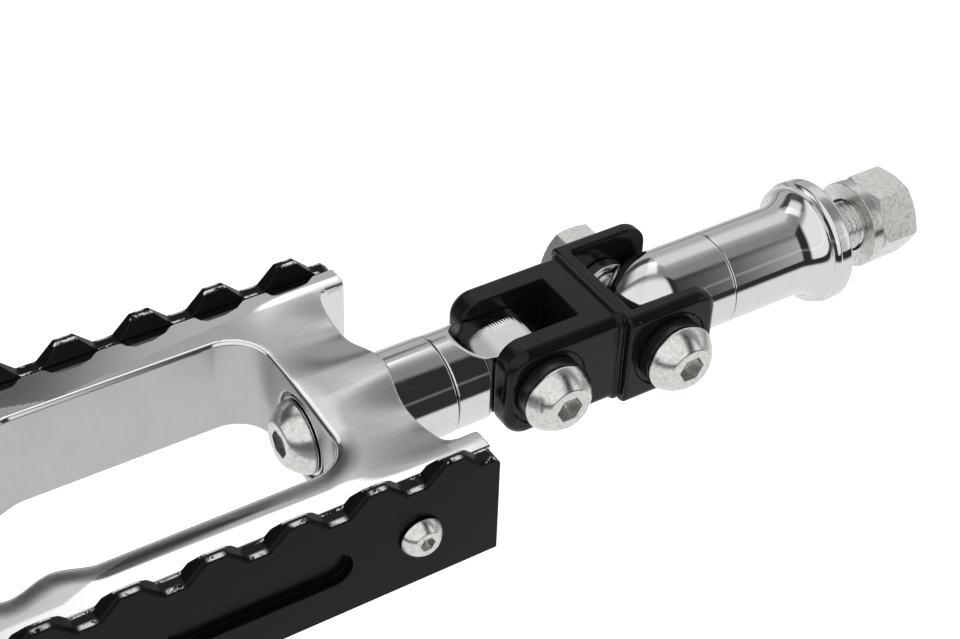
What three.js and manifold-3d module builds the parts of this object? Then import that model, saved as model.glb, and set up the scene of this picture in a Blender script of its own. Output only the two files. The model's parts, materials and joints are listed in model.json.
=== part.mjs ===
// Folding motorcycle foot peg: a wide serrated platform on a round adapter, a double clevis link
// with two pivot bolts, and a chromed mount shaft that bolts to a control bracket.
//
// Millimetres. +X runs along the peg towards the motorcycle, +Y to the rear rail, +Z up.
// The origin is the centre of the flange face that seats on the bracket.

import * as THREE from 'three';
import { mergeVertices } from 'three/addons/utils/BufferGeometryUtils.js';
import Module from 'manifold-3d';

const wasm = await Module();
wasm.setup();

// ---------------------------------------------------------------- driving dimensions
const GAP = 0.3; // clearance kept between pieces that touch
const INNER_PIVOT_X = -54; // pivot between mount shaft and link
const PIVOT_SPACING = 30.5;
const OUTER_PIVOT_X = INNER_PIVOT_X - PIVOT_SPACING; // pivot between link and peg

const BAR_RADIUS = 11.1; // 7/8 inch round bar
const BOLT_RADIUS = 4.6; // 3/8 inch pivot and peg bolts
const BOLT_HOLE_RADIUS = BOLT_RADIUS + GAP;
const HEAD_RADIUS = 8.335;
const HEAD_HEIGHT = 5.05;
const HEX_KEY = 5.56;
const NUT_ACROSS_FLATS = 14.29;
const NUT_HEIGHT = 8.4;

const STUD_RADIUS = 6;
const STUD_HOLE_RADIUS = STUD_RADIUS + GAP;
const STUD_LENGTH_OUT = 27;
const CLAMPED_PLATE = 10; // thickness of the bracket between flange and nut
const FLANGE_RADIUS = 15;
const COLLAR_LENGTH = 31.5;
const NOSE_CHEEK = 8.4; // spot face on each side of the nose, for the spacers
const SPACER_RADIUS = 6.4;

const LINK_HALF_HEIGHT = 11.6;
const WIDE_HALF_HEIGHT = 12;
const NARROW_END = 10.1; // ear end, from its pivot
const WIDE_END = 12.4;
const EAR_CORNER = 5.5;
const NARROW_HALF_WIDTH = 13.4;
const NARROW_SLOT = 7.15; // half width of the slot for the peg tongue
const NARROW_FLOOR = 19.3; // slot floor, measured back from the inner pivot
const WIDE_HALF_WIDTH = 16;
const WIDE_SLOT = 11.9; // half width of the slot for the shaft nose
const WIDE_FLOOR = 8.7;
const STEP_BACK = 11.4; // step from narrow to wide, behind the inner pivot
const SPOTFACE_RADIUS = 9.4;
const SPOTFACE_DEPTH = 0.4;
const SPACER_WASHER = 3; // black washer under each pivot bolt head

const TONGUE_HALF_WIDTH = 6.85;
const TONGUE_HALF_HEIGHT = 7.5;
const HEEL_REACH = 10.7; // square heel that stops the peg level
const SHOULDER_REACH = 12.3;
const EAR_SWEEP = 13.4; // the ears' corners pass inside this radius as the peg folds
const SEAM_X = INNER_PIVOT_X - 51.7; // joint between sleeve and adapter

const FRAME_TOP = 12.05; // flush with the valleys between the rail teeth
const FRAME_BOTTOM = -11.8;
const FRAME_HALF_WIDTH = 32.8;
const HORN_INNER_Y = 27.5;
const HORN_END_X = INNER_PIVOT_X - 58.1;
const WEB_END_X = INNER_PIVOT_X - 66.2;
const WINDOW_END_X = INNER_PIVOT_X - 84;
const WINDOW_HALF_WIDTH = 22.3;
const WINDOW_RADIUS = 9;
const OUTER_WINDOW_RADIUS = 5;
const END_WALL = 4.5;
const WEB_SCOOP = 2; // depth of the dished top at each side of the sleeve
const BOLT_RECESS = 2.2; // depth of the peg bolt's recess in the window wall

const TOOTH_PITCH = 17.1;
const TOOTH_COUNT = 6;
const RAIL_END = 10.7; // first tooth centre from the end of the rail
const RAIL_LENGTH = (TOOTH_COUNT - 1) * TOOTH_PITCH + 2 * RAIL_END;
const RAIL_INNER_Y = FRAME_HALF_WIDTH + GAP;
const RAIL_THICKNESS = 3.7;
const RAIL_BOTTOM = -13.7;
const VALLEY_Z = FRAME_TOP;
const TOOTH_TOP_Z = 16.1;
const TOOTH_FLAT = 4.4;
const TOOTH_SLOPE = 4.2;
const TOOTH_LEAN = 1.5; // how far the top of each tooth's inner face leans outward
const LEAN_START = 1.8; // height above the valley where the lean begins
const RAIL_CHAMFER = 0.8;
const RAIL_CORNER = 1.6;
const SLOT_LENGTH = 39.5;
const SLOT_HEIGHT = 8;
const SLOT_DEPTH = 2.2;
const SCREW_FROM_END = 18.5;
const SCREW_Z = -0.6;
const FRAME_OUTER_X = HORN_END_X - RAIL_LENGTH;
const BOSS_X = FRAME_OUTER_X + SCREW_FROM_END; // thicker bar round the outer screw
const screwPlaces = [HORN_END_X - SCREW_FROM_END, BOSS_X];
const BOSS_RISE = 2.3;
const BOSS_REACH = 9;
const SEGMENTS = 32;

// ---------------------------------------------------------------- finishes
const finish = (color, roughness, metalness) => () =>
  new THREE.MeshStandardMaterial({ color, roughness, metalness });
const chrome = finish(0xdcdcda, 0.08, 1);
const satinAluminium = finish(0xb4b4b0, 0.3, 1);
const blackGloss = finish(0x0c0c0d, 0.18, 0.2);
const blackAnodised = finish(0x141415, 0.38, 0.5);
const stainless = finish(0xb9b8b4, 0.3, 1);
const blackOxide = finish(0x101011, 0.35, 0.6);

// ---------------------------------------------------------------- solid helpers
const toSolid = (geometry) => {
  geometry.deleteAttribute('normal');
  geometry.deleteAttribute('uv');
  const merged = mergeVertices(geometry, 1e-4);
  return new wasm.Manifold(
    new wasm.Mesh({
      numProp: 3,
      vertProperties: new Float32Array(merged.attributes.position.array),
      triVerts: new Uint32Array(merged.index.array),
    }),
  );
};

const toGeometry = (solid) => {
  const mesh = solid.getMesh();
  const geometry = new THREE.BufferGeometry();
  geometry.setAttribute('position', new THREE.BufferAttribute(mesh.vertProperties, 3));
  geometry.setIndex(new THREE.BufferAttribute(mesh.triVerts, 1));
  geometry.computeVertexNormals();
  return geometry;
};

const vectors = (pairs) => pairs.map(([x, y]) => new THREE.Vector2(x, y));

// Solid of revolution along +X from [x, radius] pairs that start and end on the axis.
const turnedX = (pairs, segments = SEGMENTS) => {
  const profile = vectors(pairs.map(([x, radius]) => [radius, x]));
  return toSolid(new THREE.LatheGeometry(profile, segments).rotateZ(-Math.PI / 2));
};

// The same along +Y, through the point x, z.
const turnedY = (pairs, x = 0, z = 0, segments = SEGMENTS) => {
  const profile = vectors(pairs.map(([y, radius]) => [radius, y]));
  return toSolid(new THREE.LatheGeometry(profile, segments).translate(x, 0, z));
};

const rodX = (x0, x1, radius, segments) =>
  turnedX([[x0, 0], [x0, radius], [x1, radius], [x1, 0]], segments);
const rodY = (y0, y1, radius, x, z, segments) =>
  turnedY([[y0, 0], [y0, radius], [y1, radius], [y1, 0]], x, z, segments);

const block = (x0, x1, y0, y1, z0, z1) => {
  const geometry = new THREE.BoxGeometry(x1 - x0, y1 - y0, z1 - z0);
  return toSolid(geometry.translate((x0 + x1) / 2, (y0 + y1) / 2, (z0 + z1) / 2));
};

// An outline in the X-Z plane, given thickness from y0 to y1, with chamfered side edges.
const sidePlate = (shape, y0, y1, chamfer = 0, steps = 1) => {
  const geometry = new THREE.ExtrudeGeometry(shape, {
    depth: y1 - y0 - 2 * chamfer,
    bevelEnabled: chamfer > 0,
    bevelThickness: chamfer,
    bevelSize: chamfer,
    bevelOffset: -chamfer,
    bevelSegments: steps,
    curveSegments: 18,
  });
  return toSolid(geometry.rotateX(Math.PI / 2).translate(0, y1 - chamfer, 0));
};

// An outline in the X-Y plane, standing from z0 to z1.
const standingPlate = (shape, z0, z1) =>
  toSolid(
    new THREE.ExtrudeGeometry(shape, { depth: z1 - z0, bevelEnabled: false, curveSegments: 8 })
      .translate(0, 0, z0),
  );

const hexagon = (acrossFlats) => {
  const points = [];
  for (let i = 0; i < 6; i += 1) {
    const angle = (i * Math.PI) / 3;
    const corner = acrossFlats / Math.sqrt(3);
    points.push(new THREE.Vector2(corner * Math.cos(angle), corner * Math.sin(angle)));
  }
  return new THREE.Shape(points);
};

// ---------------------------------------------------------------- fasteners
// Button head screw along +Y: the head seats at y = 0 and the shank runs to y = length.
const buttonScrew = ({ headRadius, headHeight, shankRadius, length, hexKey, steps, segments }) => {
  const edge = 0.16 * headHeight;
  const flatRadius = 0.6 * headRadius;
  const centre =
    (headRadius ** 2 + edge ** 2 - flatRadius ** 2 - headHeight ** 2) / (2 * (headHeight - edge));
  const domeRadius = Math.hypot(headRadius, edge + centre);
  const profile = [[-headHeight, 0]];
  for (let i = 0; i <= steps; i += 1) {
    const radius = flatRadius + ((headRadius - flatRadius) * Math.sin((i / steps) * Math.PI / 2));
    profile.push([centre - Math.sqrt(domeRadius ** 2 - radius ** 2), radius]);
  }
  profile.push([0, headRadius], [0, shankRadius], [length - 1, shankRadius]);
  profile.push([length, shankRadius - 0.7], [length, 0]);
  const socket = sidePlate(hexagon(hexKey), -headHeight - 1, -headHeight + 0.6 * hexKey);
  return turnedY(profile, 0, 0, segments).subtract(socket);
};

// Washer on the Y axis from y0 to y1.
const washer = (y0, y1, bore, radius, x = 0) => {
  const soft = 0.3;
  const disc = [[y0, 0], [y0, radius - soft], [y0 + soft, radius]];
  disc.push([y1 - soft, radius], [y1, radius - soft], [y1, 0]);
  return turnedY(disc, x, 0, 28).subtract(rodY(y0 - 1, y1 + 1, bore, x, 0, 20));
};

// Hexagon nut on the Y axis from y0 to y1, corners chamfered, flats top and bottom.
const hexNut = (y0, y1, acrossFlats, bore) => {
  const corner = acrossFlats / Math.sqrt(3);
  const flat = acrossFlats / 2 - 0.2;
  const slope = (corner - flat) * 0.6;
  const envelope = turnedY([
    [y0, 0], [y0, flat], [y0 + slope, corner + 0.05],
    [y1 - slope, corner + 0.05], [y1, flat], [y1, 0],
  ]);
  return sidePlate(hexagon(acrossFlats), y0, y1)
    .intersect(envelope)
    .subtract(rodY(y0 - 1, y1 + 1, bore, 0, 0, 28));
};

// ---------------------------------------------------------------- mount shaft
// Rounded nose that sits between the wide ears, on a plain bar as far as the collar.
const mountKnuckle = () => {
  const barStart = 7.4;
  const noseTip = -7.9;
  const profile = [[INNER_PIVOT_X + noseTip, 0]];
  const steps = 9;
  for (let i = 1; i <= steps; i += 1) {
    const reach = (i / steps) * (barStart - noseTip);
    const rise = Math.pow(1 - Math.pow(1 - i / steps, 1.8), 0.78);
    profile.push([INNER_PIVOT_X + noseTip + reach, BAR_RADIUS * rise]);
  }
  const end = -COLLAR_LENGTH - GAP;
  profile.push([end - 0.4, BAR_RADIUS], [end, BAR_RADIUS - 0.4], [end, 0]);
  return turnedX(profile)
    .subtract(rodY(-20, 20, BOLT_HOLE_RADIUS, INNER_PIVOT_X, 0, 28))
    .subtract(rodY(NOSE_CHEEK, 20, SPACER_RADIUS + GAP, INNER_PIVOT_X, 0, 28))
    .subtract(rodY(-20, -NOSE_CHEEK, SPACER_RADIUS + GAP, INNER_PIVOT_X, 0, 28))
    .subtract(rodX(INNER_PIVOT_X + 10, 1, STUD_HOLE_RADIUS, 28));
};

// Collar with the flared, rounded flange that seats on the bracket.
const mountCollar = () => {
  const start = -COLLAR_LENGTH;
  const profile = [[start, 0], [start, BAR_RADIUS - 0.4], [start + 0.4, BAR_RADIUS]];
  const flare = 7;
  const lip = 5;
  for (let i = 0; i <= 5; i += 1) {
    const angle = ((i / 5) * Math.PI) / 2;
    profile.push([
      -lip - flare + flare * Math.sin(angle) * 0.98,
      BAR_RADIUS + (FLANGE_RADIUS - BAR_RADIUS - 0.6) * (1 - Math.cos(angle)),
    ]);
  }
  for (let i = 1; i <= 4; i += 1) {
    const angle = ((i / 4) * Math.PI) / 2;
    profile.push([-lip + 1.6 * Math.sin(angle), FLANGE_RADIUS - 0.6 * Math.cos(angle)]);
  }
  profile.push([-1, FLANGE_RADIUS], [0, FLANGE_RADIUS - 1], [0, 0]);
  return turnedX(profile).subtract(rodX(start - 1, 1, STUD_HOLE_RADIUS, 28));
};

const mountStud = () =>
  turnedX([
    [INNER_PIVOT_X + 10.5, 0],
    [INNER_PIVOT_X + 10.5, STUD_RADIUS - 0.8],
    [INNER_PIVOT_X + 11.3, STUD_RADIUS],
    [STUD_LENGTH_OUT - 0.8, STUD_RADIUS],
    [STUD_LENGTH_OUT, STUD_RADIUS - 0.8],
    [STUD_LENGTH_OUT, 0],
  ], 28);

const alongX = (solid, x, side = 1) => solid.rotate([0, 0, side * -90]).translate([x, 0, 0]);

// ---------------------------------------------------------------- double clevis link
// Side outline of one ear set: a bar from squareX to roundX, its corners rounded at roundX.
const earOutline = (squareX, roundX, halfHeight) => {
  const shape = new THREE.Shape();
  const direction = Math.sign(roundX - squareX);
  const centreX = roundX - direction * EAR_CORNER;
  const centreZ = halfHeight - EAR_CORNER;
  const towards = direction > 0 ? 0 : Math.PI;
  const turnsBack = direction < 0;
  shape.moveTo(squareX, -halfHeight);
  shape.lineTo(centreX, -halfHeight);
  shape.absarc(centreX, -centreZ, EAR_CORNER, -Math.PI / 2, -towards, turnsBack);
  shape.absarc(centreX, centreZ, EAR_CORNER, towards, Math.PI / 2, turnsBack);
  shape.lineTo(squareX, halfHeight);
  shape.closePath();
  return shape;
};

const clevisLink = () => {
  const stepX = INNER_PIVOT_X - STEP_BACK;
  const edge = 2.2;
  const narrow = sidePlate(
    earOutline(stepX + edge + 1, OUTER_PIVOT_X - NARROW_END, LINK_HALF_HEIGHT),
    -NARROW_HALF_WIDTH, NARROW_HALF_WIDTH, edge, 3,
  );
  const wide = sidePlate(
    earOutline(stepX, INNER_PIVOT_X + WIDE_END, WIDE_HALF_HEIGHT),
    -WIDE_HALF_WIDTH, WIDE_HALF_WIDTH, 1.8, 3,
  );
  const beadWidth = NARROW_HALF_WIDTH + 0.8;
  const bead = block(
    stepX - 1.4, stepX + 1, -beadWidth, beadWidth, -LINK_HALF_HEIGHT, LINK_HALF_HEIGHT,
  );
  const outerSlot = block(
    OUTER_PIVOT_X - 20, INNER_PIVOT_X - NARROW_FLOOR, -NARROW_SLOT, NARROW_SLOT, -20, 20,
  );
  const innerSlot = block(
    INNER_PIVOT_X - WIDE_FLOOR, INNER_PIVOT_X + 20, -WIDE_SLOT, WIDE_SLOT, -20, 20,
  );
  const outerSpot = NARROW_HALF_WIDTH - SPOTFACE_DEPTH;
  const innerSpot = WIDE_HALF_WIDTH - SPOTFACE_DEPTH;
  return narrow
    .add(wide)
    .add(bead)
    .subtract(outerSlot)
    .subtract(innerSlot)
    .subtract(rodY(-20, 20, BOLT_HOLE_RADIUS, OUTER_PIVOT_X, 0, 28))
    .subtract(rodY(-20, 20, BOLT_HOLE_RADIUS, INNER_PIVOT_X, 0, 28))
    .subtract(rodY(-20, -outerSpot, SPOTFACE_RADIUS, OUTER_PIVOT_X, 0))
    .subtract(rodY(-20, -innerSpot, SPOTFACE_RADIUS, INNER_PIVOT_X, 0));
};

// ---------------------------------------------------------------- peg adapter
// Bar stock milled to a tongue: sloped run-outs above and below, flat cheeks, rounded eye.
const pivotAdapter = () => {
  const start = SEAM_X + GAP / 2;
  const radius = BAR_RADIUS - 0.1;
  const end = OUTER_PIVOT_X + HEEL_REACH;
  const stock = turnedX([
    [start, 0], [start, radius - 0.4], [start + 0.4, radius], [end, radius], [end, 0],
  ]);
  const slopeStart = OUTER_PIVOT_X - 16.8;
  const slopeEnd = OUTER_PIVOT_X - 11.6;
  const top = TONGUE_HALF_HEIGHT;
  const outline = new THREE.Shape();
  outline.moveTo(start - 1, -radius - 1);
  outline.lineTo(slopeStart - 1, -radius - 1);
  outline.lineTo(slopeStart, -radius);
  outline.quadraticCurveTo(slopeEnd - 1, -top, slopeEnd + 2, -top);
  outline.lineTo(end, -top);
  outline.lineTo(end, -3.2);
  outline.lineTo(OUTER_PIVOT_X + Math.sqrt(top ** 2 - 3.2 ** 2), -3.2);
  outline.absarc(OUTER_PIVOT_X, 0, top, -Math.asin(3.2 / top), Math.PI / 2, false);
  outline.lineTo(slopeEnd + 2, top);
  outline.quadraticCurveTo(slopeEnd - 1, top, slopeStart, radius);
  outline.lineTo(slopeStart - 1, radius + 1);
  outline.lineTo(start - 1, radius + 1);
  outline.closePath();
  const shoulder = OUTER_PIVOT_X - SHOULDER_REACH;
  const cheek = (side) => {
    const y = side > 0 ? [TONGUE_HALF_WIDTH, 20] : [-20, -TONGUE_HALF_WIDTH];
    return block(shoulder, end + 1, ...y, -20, 20).add(rodY(...y, EAR_SWEEP, OUTER_PIVOT_X, 0, 64));
  };
  return stock
    .intersect(sidePlate(outline, -15, 15))
    .subtract(cheek(1))
    .subtract(cheek(-1))
    .subtract(rodY(-20, 20, BOLT_HOLE_RADIUS, OUTER_PIVOT_X, 0, 28))
    .subtract(rodX(start - 1, OUTER_PIVOT_X - 8, BOLT_HOLE_RADIUS, 28));
};

const adapterSleeve = () => {
  const start = WEB_END_X - 0.5;
  const end = SEAM_X - GAP / 2;
  const radius = BAR_RADIUS + 0.1;
  return turnedX([
    [start, 0], [start, radius], [end - 0.4, radius], [end, radius - 0.4], [end, 0],
  ]).subtract(rodX(start - 1, end + 1, BOLT_HOLE_RADIUS, 28));
};

// ---------------------------------------------------------------- platform frame
const bossRise = (x) => {
  const t = Math.abs(x - BOSS_X) / BOSS_REACH;
  return t < 1 ? BOSS_RISE * 0.5 * (1 + Math.cos(Math.PI * t)) : 0;
};

// End of the web between the horns, with a short nose over the sleeve.
const webEnd = (y) => WEB_END_X + 2.4 * Math.exp(-((y / 7) ** 2)) + 1.2 * (y / HORN_INNER_Y) ** 4;

const frameOutline = () => {
  const shape = new THREE.Shape();
  shape.moveTo(FRAME_OUTER_X, -FRAME_HALF_WIDTH);
  shape.lineTo(HORN_END_X, -FRAME_HALF_WIDTH);
  shape.lineTo(HORN_END_X, -HORN_INNER_Y);
  const steps = 22;
  for (let i = 0; i <= steps; i += 1) {
    const y = -HORN_INNER_Y + (2 * HORN_INNER_Y * i) / steps;
    shape.lineTo(webEnd(y), y);
  }
  shape.lineTo(HORN_END_X, HORN_INNER_Y);
  shape.lineTo(HORN_END_X, FRAME_HALF_WIDTH);
  shape.lineTo(FRAME_OUTER_X, FRAME_HALF_WIDTH);
  shape.closePath();
  return shape;
};

const windowOutline = () => {
  const shape = new THREE.Shape();
  const outer = FRAME_OUTER_X + END_WALL;
  const side = WINDOW_HALF_WIDTH;
  const steps = 12;
  const bossPoints = (direction) => {
    for (let i = 0; i <= steps; i += 1) {
      const x = BOSS_X + direction * BOSS_REACH * (2 * (i / steps) - 1);
      shape.lineTo(x, -direction * (side - bossRise(x)));
    }
  };
  const outerRadius = OUTER_WINDOW_RADIUS;
  shape.moveTo(outer, 0);
  shape.absarc(outer + outerRadius, -side + outerRadius, outerRadius, Math.PI, 1.5 * Math.PI);
  bossPoints(1);
  const inner = WINDOW_END_X - WINDOW_RADIUS;
  shape.absarc(inner, -side + WINDOW_RADIUS, WINDOW_RADIUS, -Math.PI / 2, 0);
  shape.absarc(inner, side - WINDOW_RADIUS, WINDOW_RADIUS, 0, Math.PI / 2);
  bossPoints(-1);
  shape.absarc(outer + outerRadius, side - outerRadius, outerRadius, Math.PI / 2, Math.PI);
  shape.closePath();
  return shape;
};

const smooth = (a, b, value) => {
  const t = THREE.MathUtils.clamp((value - a) / (b - a), 0, 1);
  return t * t * (3 - 2 * t);
};

// Height of the web's scooped top: low between the hump over the sleeve and each horn.
const webTop = (x, y) => {
  const side = Math.abs(y);
  const lengthwise = smooth(WINDOW_END_X - 4, WEB_END_X, x);
  const across = smooth(3, 15, side) * (1 - smooth(17, 31, side));
  const hump = 0.35 * (1 - smooth(0, 12, side)) * smooth(WEB_END_X - 12, WEB_END_X + 2, x);
  return FRAME_TOP + hump - WEB_SCOOP * lengthwise * across;
};

const scoopTool = () => {
  const x0 = WINDOW_END_X - 6;
  const x1 = HORN_END_X + 4;
  const halfWidth = HORN_INNER_Y + 3;
  const top = 30;
  const geometry = new THREE.BoxGeometry(x1 - x0, 2 * halfWidth, top, 9, 22, 1);
  geometry.translate((x0 + x1) / 2, 0, top / 2);
  const position = geometry.attributes.position;
  for (let i = 0; i < position.count; i += 1) {
    if (position.getZ(i) < 1) position.setZ(i, webTop(position.getX(i), position.getY(i)));
  }
  return toSolid(geometry);
};

const platformFrame = () => {
  const hornTool = (side) => {
    const y = side > 0 ? [HORN_INNER_Y, 40] : [-40, -HORN_INNER_Y];
    return block(WEB_END_X + 1.3, HORN_END_X + 5, ...y, FRAME_TOP, 30);
  };
  const barTool = block(FRAME_OUTER_X - 5, WINDOW_END_X - 5.99, -40, 40, FRAME_TOP, 30);
  const sideTool = (side) => {
    const y = side > 0 ? [HORN_INNER_Y + 2.99, 40] : [-40, -HORN_INNER_Y - 2.99];
    return block(WINDOW_END_X - 7, WEB_END_X + 2, ...y, FRAME_TOP, 30);
  };
  let frame = standingPlate(frameOutline(), FRAME_BOTTOM, FRAME_TOP + 2)
    .subtract(standingPlate(windowOutline(), FRAME_BOTTOM - 1, FRAME_TOP + 3))
    .subtract(scoopTool())
    .subtract(barTool);
  for (const side of [-1, 1]) {
    frame = frame.subtract(hornTool(side)).subtract(sideTool(side));
  }
  const seatRadius = BAR_RADIUS + 0.1 + GAP;
  frame = frame
    .subtract(rodX(WEB_END_X - 0.5 - GAP, HORN_END_X + 5, seatRadius))
    .subtract(rodX(WINDOW_END_X - 9, WINDOW_END_X + BOLT_RECESS, HEAD_RADIUS + 1.2))
    .subtract(rodX(WINDOW_END_X - 2, WEB_END_X + 4, BOLT_HOLE_RADIUS, 28));
  for (const x of screwPlaces) {
    for (const side of [-1, 1]) {
      const far = side * (FRAME_HALF_WIDTH + 1);
      const near = side * (FRAME_HALF_WIDTH - 9);
      const hole = rodY(Math.min(far, near), Math.max(far, near), 2.5, x, SCREW_Z, 20);
      frame = frame.subtract(hole);
    }
  }
  return frame;
};

// ---------------------------------------------------------------- grip rails
// The toothed edge, on a plate that runs past the rail's ends and bottom.
const toothOutline = () => {
  const shape = new THREE.Shape();
  const half = TOOTH_FLAT / 2;
  const past = 2;
  shape.moveTo(FRAME_OUTER_X - past, RAIL_BOTTOM - past);
  shape.lineTo(HORN_END_X + past, RAIL_BOTTOM - past);
  shape.lineTo(HORN_END_X + past, VALLEY_Z);
  for (let i = 0; i < TOOTH_COUNT; i += 1) {
    const x = HORN_END_X - RAIL_END - i * TOOTH_PITCH;
    shape.lineTo(x + half + TOOTH_SLOPE, VALLEY_Z);
    shape.lineTo(x + half, TOOTH_TOP_Z);
    shape.lineTo(x - half, TOOTH_TOP_Z);
    shape.lineTo(x - half - TOOTH_SLOPE, VALLEY_Z);
  }
  shape.lineTo(FRAME_OUTER_X - past, VALLEY_Z);
  shape.closePath();
  return shape;
};

// The rail's ends and bottom, with its upper corners cut off.
const railEnds = () => {
  const above = TOOTH_TOP_Z + 1;
  return new THREE.Shape(vectors([
    [FRAME_OUTER_X, RAIL_BOTTOM],
    [HORN_END_X, RAIL_BOTTOM],
    [HORN_END_X, VALLEY_Z - RAIL_CORNER],
    [HORN_END_X - RAIL_CORNER, VALLEY_Z],
    [HORN_END_X - RAIL_CORNER, above],
    [FRAME_OUTER_X + RAIL_CORNER, above],
    [FRAME_OUTER_X + RAIL_CORNER, VALLEY_Z],
    [FRAME_OUTER_X, VALLEY_Z - RAIL_CORNER],
  ]));
};

// What leaning the teeth's inner faces takes off the front rail.
const leanTool = () => {
  const start = VALLEY_Z + LEAN_START;
  const end = 2 * TOOTH_TOP_Z - start;
  const wedge = new THREE.Shape(vectors([
    [start, -RAIL_INNER_Y],
    [start, 0],
    [end, 0],
    [end, -RAIL_INNER_Y - 2 * TOOTH_LEAN],
  ]));
  const geometry = new THREE.ExtrudeGeometry(wedge, {
    depth: RAIL_LENGTH + 10,
    bevelEnabled: false,
  });
  return toSolid(geometry.rotateY(-Math.PI / 2).translate(HORN_END_X + 5, 0, 0));
};

const slotOutline = () => {
  const middle = (HORN_END_X + FRAME_OUTER_X) / 2;
  const radius = SLOT_HEIGHT / 2;
  const reach = SLOT_LENGTH / 2 - radius;
  const shape = new THREE.Shape();
  shape.absarc(middle + reach, SCREW_Z, radius, -Math.PI / 2, Math.PI / 2);
  shape.absarc(middle - reach, SCREW_Z, radius, Math.PI / 2, 1.5 * Math.PI);
  shape.closePath();
  return shape;
};

// The front rail; the rear rail is its mirror image.
const gripRail = () => {
  const outerY = -(RAIL_INNER_Y + RAIL_THICKNESS);
  let rail = sidePlate(toothOutline(), outerY, -RAIL_INNER_Y + 4, RAIL_CHAMFER)
    .intersect(sidePlate(railEnds(), outerY - 1, -RAIL_INNER_Y))
    .subtract(leanTool())
    .subtract(sidePlate(slotOutline(), outerY - 1, outerY + SLOT_DEPTH));
  for (const x of screwPlaces) {
    rail = rail.subtract(rodY(outerY - 1, -RAIL_INNER_Y + 1, 2.5, x, SCREW_Z, 20));
  }
  return rail;
};

// ---------------------------------------------------------------- assembly
const footPeg = new THREE.Group();

const place = (name, solid, material) => {
  const mesh = new THREE.Mesh(toGeometry(solid), material());
  mesh.name = name;
  footPeg.add(mesh);
};

// Flange side: fixed to the bracket.
place('mount_knuckle', mountKnuckle(), chrome);
place('mount_collar', mountCollar(), chrome);
place('mount_stud', mountStud(), stainless);
const washerX = CLAMPED_PLATE + GAP;
place('mount_lock_washer', alongX(washer(0, 3, 6.5, 10.6), washerX), stainless);
place('mount_nut', alongX(hexNut(0, 10.8, 19, STUD_HOLE_RADIUS), washerX + 3 + GAP), stainless);

// Link, and what is bolted through it.
place('clevis_link', clevisLink(), blackGloss);
const pivots = [
  { name: 'outer_pivot', x: OUTER_PIVOT_X, face: NARROW_HALF_WIDTH, reach: -0.4 },
  { name: 'inner_pivot', x: INNER_PIVOT_X, face: WIDE_HALF_WIDTH, reach: NUT_HEIGHT + 1.9 },
];
for (const { name, x, face, reach } of pivots) {
  const floor = -(face - SPOTFACE_DEPTH) - GAP;
  const seat = floor - SPACER_WASHER - GAP;
  const screw = buttonScrew({
    headRadius: HEAD_RADIUS,
    headHeight: HEAD_HEIGHT,
    shankRadius: BOLT_RADIUS,
    length: face + reach - seat,
    hexKey: HEX_KEY,
    steps: 5,
    segments: SEGMENTS,
  });
  place(`${name}_bolt`, screw.translate([x, seat, 0]), stainless);
  const ring = washer(floor - SPACER_WASHER, floor, BOLT_HOLE_RADIUS, HEAD_RADIUS - 0.2, x);
  place(`${name}_washer`, ring, blackOxide);
}
const nutSeat = WIDE_HALF_WIDTH + GAP;
const pivotNut = hexNut(nutSeat, nutSeat + NUT_HEIGHT, NUT_ACROSS_FLATS, BOLT_HOLE_RADIUS);
place('inner_pivot_nut', pivotNut.translate([INNER_PIVOT_X, 0, 0]), stainless);
const spacerInner = NOSE_CHEEK + GAP;
const spacerOuter = WIDE_SLOT - GAP;
for (const [name, y0, y1] of [
  ['inner_spacer_front', -spacerOuter, -spacerInner],
  ['inner_spacer_rear', spacerInner, spacerOuter],
]) {
  place(name, washer(y0, y1, BOLT_HOLE_RADIUS, SPACER_RADIUS, INNER_PIVOT_X), stainless);
}

// Peg: adapter, platform and rails.
place('pivot_adapter', pivotAdapter(), chrome);
place('adapter_sleeve', adapterSleeve(), chrome);
place('platform_frame', platformFrame(), satinAluminium);
const boltFloor = WINDOW_END_X + BOLT_RECESS - GAP;
place(
  'peg_bolt_washer',
  alongX(washer(0, 1.6, BOLT_HOLE_RADIUS, HEAD_RADIUS + 0.6), boltFloor - 1.6),
  stainless,
);
const pegBolt = buttonScrew({
  headRadius: HEAD_RADIUS,
  headHeight: HEAD_HEIGHT,
  shankRadius: BOLT_RADIUS,
  length: 44,
  hexKey: HEX_KEY,
  steps: 5,
  segments: SEGMENTS,
});
place('peg_bolt', alongX(pegBolt, boltFloor - 1.6 - GAP), stainless);

const frontRail = gripRail();
place('front_grip_rail', frontRail, blackAnodised);
place('rear_grip_rail', frontRail.mirror([0, 1, 0]), blackAnodised);
const railFace = RAIL_INNER_Y + RAIL_THICKNESS + GAP;
const railScrew = buttonScrew({
  headRadius: 4.75,
  headHeight: 2.75,
  shankRadius: 2.2,
  length: 12.4,
  hexKey: 3,
  steps: 3,
  segments: 20,
});
for (const [end, x] of [['inner', screwPlaces[0]], ['outer', screwPlaces[1]]]) {
  const front = railScrew.translate([x, -railFace, SCREW_Z]);
  place(`front_rail_screw_${end}`, front, stainless);
  place(`rear_rail_screw_${end}`, front.mirror([0, 1, 0]), stainless);
}

export default footPeg;
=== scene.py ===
"""Looks for the folding foot peg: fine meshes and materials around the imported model."""
import json
import math

import bmesh
import bpy
import numpy as np
from mathutils import Matrix, Vector


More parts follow.
